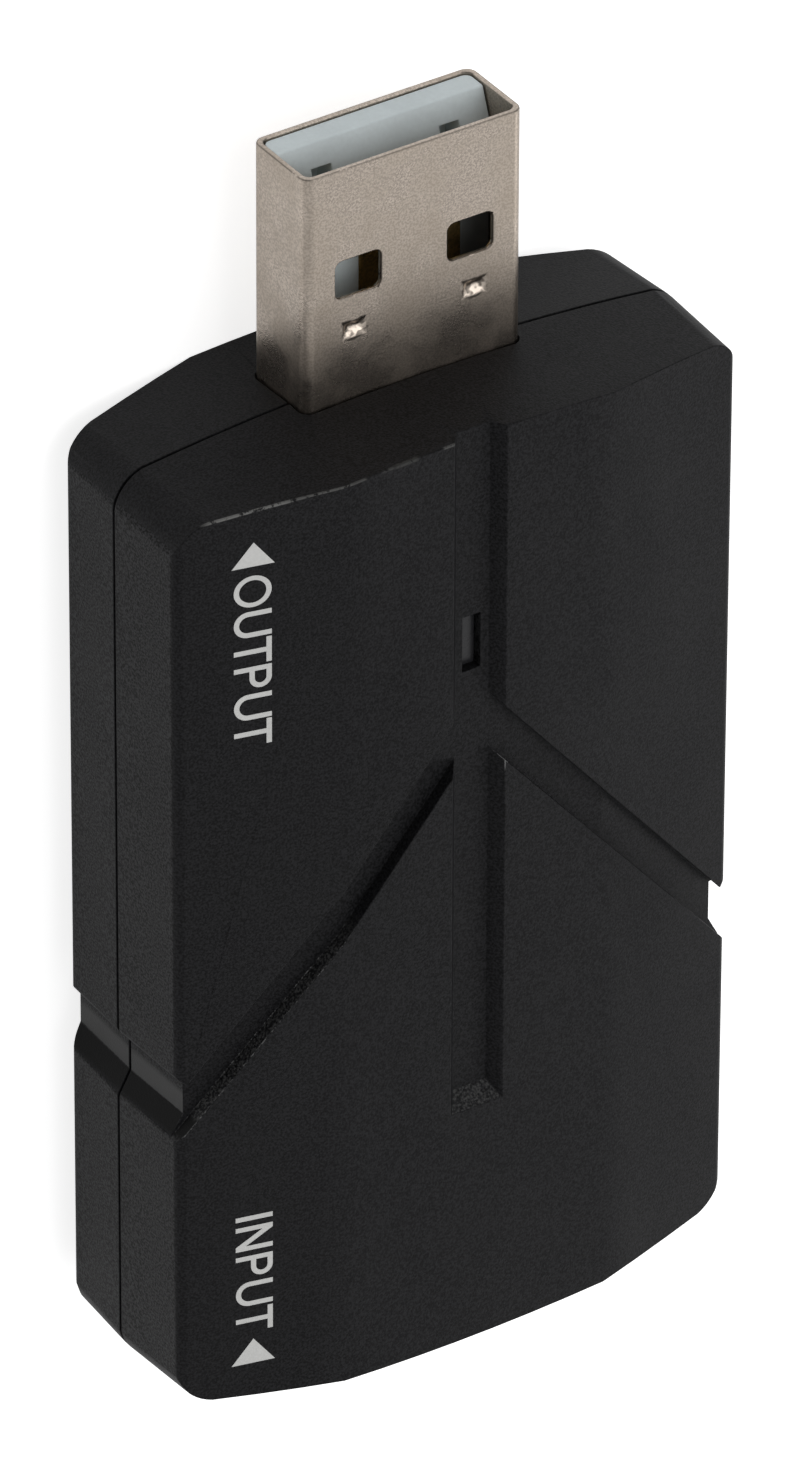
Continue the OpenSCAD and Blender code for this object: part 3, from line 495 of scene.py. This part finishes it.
def tight_corners(bm, width):
    """Corners too tight to be eased: each one's place and reach, with its long edges split at the reach."""
    sharp = set(edges_over(bm, SHARP_ANGLE))
    tight = []
    for corner in [c for f in bm.faces for c in f.loops if c.is_convex]:
        pair = (corner.edge, corner.link_loop_prev.edge)
        inset = width / math.tan(max(corner.calc_angle() / 2, 0.01))
        if sharp.issuperset(pair) and min(e.calc_length() for e in pair) < inset:
            tight.append((corner.vert, 1.7 * inset))
    for vert, reach in tight:
        for edge in [e for e in vert.link_edges if e.calc_length() > 1.5 * reach]:
            bmesh.utils.edge_split(edge, vert, 0.98 * reach / edge.calc_length())
    return [(vert.co.copy(), reach) for vert, reach in tight]


def unfold(bm, width):
    """Closes up the slivers that the easing leaves folded over at tight corners."""
    for _ in range(6):
        slivers = [min(e.link_faces, key=lambda f: f.calc_area()) for e in edges_over(bm, FOLD_ANGLE)]
        short = dict.fromkeys(min(f.edges, key=lambda e: e.calc_length()) for f in slivers)
        short = [e for e in short if e.calc_length() < width]
        if not short:
            break
        bmesh.ops.collapse(bm, edges=short)
        bmesh.ops.dissolve_degenerate(bm, dist=1e-8, edges=bm.edges)
        bm.normal_update()


def eased_copy(node, name, slot, width, *mats):
    """A copy of a solid with its sharp edges eased, and an edge attribute for the wear and the painted edge
    shade.
    """
    bm = bmesh.new()
    bm.from_mesh(nodes[node].data)
    bmesh.ops.remove_doubles(bm, verts=bm.verts, dist=0.001 * MM)
    bmesh.ops.dissolve_limit(bm, angle_limit=FLAT_ANGLE, verts=bm.verts, edges=bm.edges)
    tight = tight_corners(bm, width * MM)
    sharp = [e for e in edges_over(bm, SHARP_ANGLE) if not any(
        all((v.co - spot).length < reach for v in e.verts) for spot, reach in tight)]
    edge = bm.verts.layers.float.new("edge")
    eased = bmesh.ops.bevel(
        bm, geom=sharp, offset=width * MM, offset_type="OFFSET", segments=2, profile=0.5,
        affect="EDGES", material=-1, clamp_overlap=False, loop_slide=True)
    strips = set(eased["faces"])
    bm.normal_update()
    for vert in bm.verts:
        if not all(face in strips for face in vert.link_faces):
            continue
        middle = sum((e.other_vert(vert).co for e in vert.link_edges), Vector()) / len(vert.link_edges)
        vert[edge] = 1.0 if (middle - vert.co).dot(vert.normal) < 0 else 0.0
    if node in CASE_HALVES:
        unfold(bm, width * MM)
    return finish_piece(bm, name, slot, *mats, replaced=node)


def finish_piece(bm, name, slot, *mats, replaced=None):
    mesh = bpy.data.meshes.new(name)
    for face in bm.faces:
        face.smooth = True
    bm.to_mesh(mesh)
    bm.free()
    mesh.set_sharp_from_angle(angle=SHADE_ANGLE)
    for mat in mats:
        mesh.materials.append(mat)
    obj = bpy.data.objects.new(name, mesh)
    scene.collection.objects.link(obj)
    flats = obj.modifiers.new("even_flats", "WEIGHTED_NORMAL")
    flats.mode = "FACE_AREA"
    flats.weight = 100
    flats.keep_sharp = True
    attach(obj, "root")
    if replaced:
        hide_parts(replaced)
    return obj


def tin_the_ends(obj, share):
    """Gives the end caps of each small component the second material."""
    bm = bmesh.new()
    bm.from_mesh(obj.data)
    left = set(bm.faces)
    while left:
        island, queue = [], [left.pop()]
        while queue:
            face = queue.pop()
            island.append(face)
            for edge in face.edges:
                for other in edge.link_faces:
                    if other in left:
                        left.discard(other)
                        queue.append(other)
        spots = [v.co.x for f in island for v in f.verts]
        middle, reach = (min(spots) + max(spots)) / 2, (max(spots) - min(spots)) / 2
        for face in island:
            if abs(face.calc_center_median().x - middle) > share * reach:
                face.material_index = 1
    bm.to_mesh(obj.data)
    bm.free()


def paint(node, mat):
    obj = nodes[node]
    obj.data.materials.clear()
    obj.data.materials.append(mat)


eased_copy("front_shell", "front_case", "case_plastic", 0.05, case_plastic)
eased_copy("rear_shell", "rear_case", "case_plastic", 0.05, case_plastic)
eased_copy("plug_shell", "plug_sleeve", "plug_steel", 0.09, plug_steel)
eased_copy("plug_insulator", "plug_tongue", "plug_plastic", 0.08, plug_plastic)
eased_copy("socket_shell", "socket_sleeve", "socket_steel", 0.06, socket_steel)
eased_copy("light_pipe", "indicator_lens", "lens_plastic", 0.06, lens_plastic)
for part in ("capacitors", "resistors"):
    body = ceramic if part == "capacitors" else black_resin
    small = eased_copy(part, part + "_soldered", "ceramic", 0.03, body, tinned)
    tin_the_ends(small, 0.62)
for part in ("memory_chip", "voltage_regulators"):
    chip = eased_copy(part, part + "_soldered", "black_resin", 0.03, black_resin, tinned)
    tin_the_ends(chip, 0.86)
for part, mat in (
        ("plug_power_contacts", contact_gold), ("plug_data_contacts", contact_gold),
        ("socket_upper_contacts", contact_gold), ("socket_lower_contacts", contact_gold),
        ("socket_insulator", black_resin), ("circuit_board", board_laminate),
        ("capture_chip", black_resin), ("crystal", socket_steel), ("power_coil", black_resin),
        ("protection_arrays", black_resin), ("status_lamp", lamp_resin)):
    paint(part, mat)


# ---------------------------------------------------------------- printed labels

STROKE = 0.26
LETTER_HEIGHT = 1.85
PRINT_THICK, PRINT_SUNK = 0.012, 0.004


def bar(bm, low, high):
    """A straight stroke, filling the rectangle between two corners."""
    verts = bmesh.ops.create_grid(bm, x_segments=1, y_segments=1, size=0.5)["verts"]
    bmesh.ops.scale(bm, vec=(high[0] - low[0], high[1] - low[1], 1), verts=verts)
    bmesh.ops.translate(bm, vec=((low[0] + high[0]) / 2, (low[1] + high[1]) / 2, 0), verts=verts)


def bend(bm, centre, radius, start, angle, steps=18):
    """A round stroke; its middle line has the radius."""
    way = Vector((math.cos(start), math.sin(start), 0))
    ends = [bm.verts.new(Vector((*centre, 0)) + way * (radius + side * STROKE / 2)) for side in (-1, 1)]
    edge = bm.edges.new(ends)
    bmesh.ops.spin(
        bm, geom=[*ends, edge], cent=(*centre, 0), axis=(0, 0, 1), angle=angle, steps=steps,
        use_merge=angle == math.tau)


def letter_o(bm, left, width):
    known = set(bm.verts)
    radius = (LETTER_HEIGHT - STROKE) / 2
    bend(bm, (0, LETTER_HEIGHT / 2), radius, 0, math.tau, 40)
    ring = [v for v in bm.verts if v not in known]
    bmesh.ops.scale(bm, vec=(width / LETTER_HEIGHT, 1, 1), verts=ring)
    bmesh.ops.translate(bm, vec=(left + width / 2, 0, 0), verts=ring)


def letter_u(bm, left, width):
    foot = width / 2
    bar(bm, (left, foot), (left + STROKE, LETTER_HEIGHT))
    bar(bm, (left + width - STROKE, foot), (left + width, LETTER_HEIGHT))
    bend(bm, (left + foot, foot), foot - STROKE / 2, math.pi, math.pi)


def letter_t(bm, left, width):
    middle = left + width / 2
    bar(bm, (left, LETTER_HEIGHT - STROKE), (left + width, LETTER_HEIGHT))
    bar(bm, (middle - STROKE / 2, 0), (middle + STROKE / 2, LETTER_HEIGHT - STROKE))


def letter_p(bm, left, width):
    low = 0.41 * LETTER_HEIGHT
    bowl = (LETTER_HEIGHT - low) / 2
    turn = left + width - bowl
    bar(bm, (left, 0), (left + STROKE, LETTER_HEIGHT))
    bar(bm, (left + STROKE, LETTER_HEIGHT - STROKE), (turn, LETTER_HEIGHT))
    bar(bm, (left + STROKE, low), (turn, low + STROKE))
    bend(bm, (turn, low + bowl), bowl - STROKE / 2, -math.pi / 2, math.pi)


def letter_n(bm, left, width):
    right = left + width
    bar(bm, (left, 0), (left + STROKE, LETTER_HEIGHT))
    bar(bm, (right - STROKE, 0), (right, LETTER_HEIGHT))
    tall = 0.5
    flat(bm, (left + STROKE, LETTER_HEIGHT - tall), (right - STROKE, 0), (right - STROKE, tall),
         (left + STROKE, LETTER_HEIGHT))


def letter_i(bm, left, width):
    bar(bm, (left, 0), (left + STROKE, LETTER_HEIGHT))


def flat(bm, *corners):
    bm.faces.new([bm.verts.new((*corner, 0)) for corner in corners])


def printed_label(name, start, letters, arrow):
    """A thin white print on the left facet: words along the case and an arrow."""
    bm = bmesh.new()
    for letter, left, width in letters:
        letter(bm, left, width)
    flat(bm, *arrow)
    bmesh.ops.remove_doubles(bm, verts=bm.verts, dist=0.001)
    bm.normal_update()
    bmesh.ops.reverse_faces(bm, faces=[f for f in bm.faces if f.normal.z < 0])
    raised = bmesh.ops.extrude_face_region(bm, geom=list(bm.faces), use_keep_orig=True)
    lifted = [v for v in raised["geom"] if isinstance(v, bmesh.types.BMVert)]
    bmesh.ops.translate(bm, vec=(0, 0, PRINT_THICK), verts=lifted)
    bmesh.ops.recalc_face_normals(bm, faces=bm.faces)
    slope = Vector((1, 0, FACET_FALL)).normalized()
    normal = Vector((-FACET_FALL, 0, 1)).normalized()
    turn = Matrix((Vector((0, -1, 0)), slope, normal)).transposed().to_4x4()
    level = FRONT_HEIGHT - (abs(start[0]) - FACET_HALF) * FACET_FALL
    place = at(start[0], start[1], level) - normal * PRINT_SUNK * MM
    bmesh.ops.transform(bm, matrix=Matrix.Translation(place) @ turn @ Matrix.Scale(MM, 4), verts=bm.verts)
    return finish_piece(bm, name, None, label_print)


printed_label(
    "output_label", (-12.75, 47.2),
    ((letter_o, 0, 1.7), (letter_u, 1.94, 1.4), (letter_t, 3.46, 1.37), (letter_p, 4.97, 1.2),
     (letter_u, 6.47, 1.4), (letter_t, 7.95, 1.37)),
    ((-1.8, 0.976), (-0.5, -0.1), (-0.5, 2.0)))
printed_label(
    "input_label", (-12.75, 11.35),
    ((letter_i, 0, STROKE), (letter_n, 0.6, 1.37), (letter_p, 2.3, 1.2), (letter_u, 3.81, 1.38),
     (letter_t, 5.35, 1.35)),
    ((7.15, 0.873), (8.55, -0.226), (8.55, 1.95)))


# ---------------------------------------------------------------- studio

FLOOR_SEEN, FLOOR_MIRRORED = 0.76, 0.36


def studio_floor():
    """A white floor that keeps the shadow, lifted for what the camera and the metal see."""
    bm = bmesh.new()
    bmesh.ops.create_grid(bm, x_segments=1, y_segments=1, size=3)
    mesh = bpy.data.meshes.new("studio_floor")
    bm.to_mesh(mesh)
    bm.free()
    obj = bpy.data.objects.new("studio_floor", mesh)
    scene.collection.objects.link(obj)
    mat, tree, shader = new_material("studio_white", (0.8, 0.8, 0.8), 0.95, specular=0.0)
    rays = add(tree, "ShaderNodeLightPath").outputs
    mirrored = math_node(tree, "MAXIMUM", rays["Is Glossy Ray"], rays["Is Transmission Ray"])
    seen = times(tree, rays["Is Camera Ray"], FLOOR_SEEN)
    seen = math_node(tree, "MAXIMUM", seen, times(tree, mirrored, FLOOR_MIRRORED))
    lift = add(tree, "ShaderNodeEmission", {"Color": (1, 1, 1, 1), "Strength": seen})
    both = add(tree, "ShaderNodeAddShader", {0: shader.outputs[0], 1: lift.outputs[0]})
    tree.links.new(both.outputs[0], tree.nodes["Material Output"].inputs["Surface"])
    mesh.materials.append(mat)


def soft_light(name, place, size, power):
    """A soft box that looks at the middle of the part."""
    data = bpy.data.lights.new(name, "AREA")
    data.shape = "RECTANGLE"
    data.size, data.size_y = size
    data.energy = power
    obj = bpy.data.objects.new(name, data)
    scene.collection.objects.link(obj)
    obj.location = place
    obj.rotation_euler = (-Vector(place)).to_track_quat("-Z", "Y").to_euler()


def studio_world():
    """Soft light all round, brighter towards the socket end."""
    world = bpy.data.worlds.new("studio_world")
    scene.world = world
    world.use_nodes = True
    tree = world.node_tree
    way = add(tree, "ShaderNodeTexCoord").outputs["Generated"]
    along = add(tree, "ShaderNodeSeparateXYZ", {0: way}).outputs["Y"]
    level = remap(tree, along, 0.35, -0.5, 0.3, 0.68)
    tree.links.new(level, tree.nodes["Background"].inputs["Strength"])
    tree.nodes["Background"].inputs["Color"].default_value = (1, 1, 1, 1)


studio_camera()
studio_floor()
studio_world()
soft_light("key_light", (0.14, 0.2, 0.6), (0.6, 0.6), 1.4)
soft_light("low_light", (0.46, -0.4, 0.28), (0.45, 0.3), 0.4)
scene.view_settings.view_transform = "Standard"
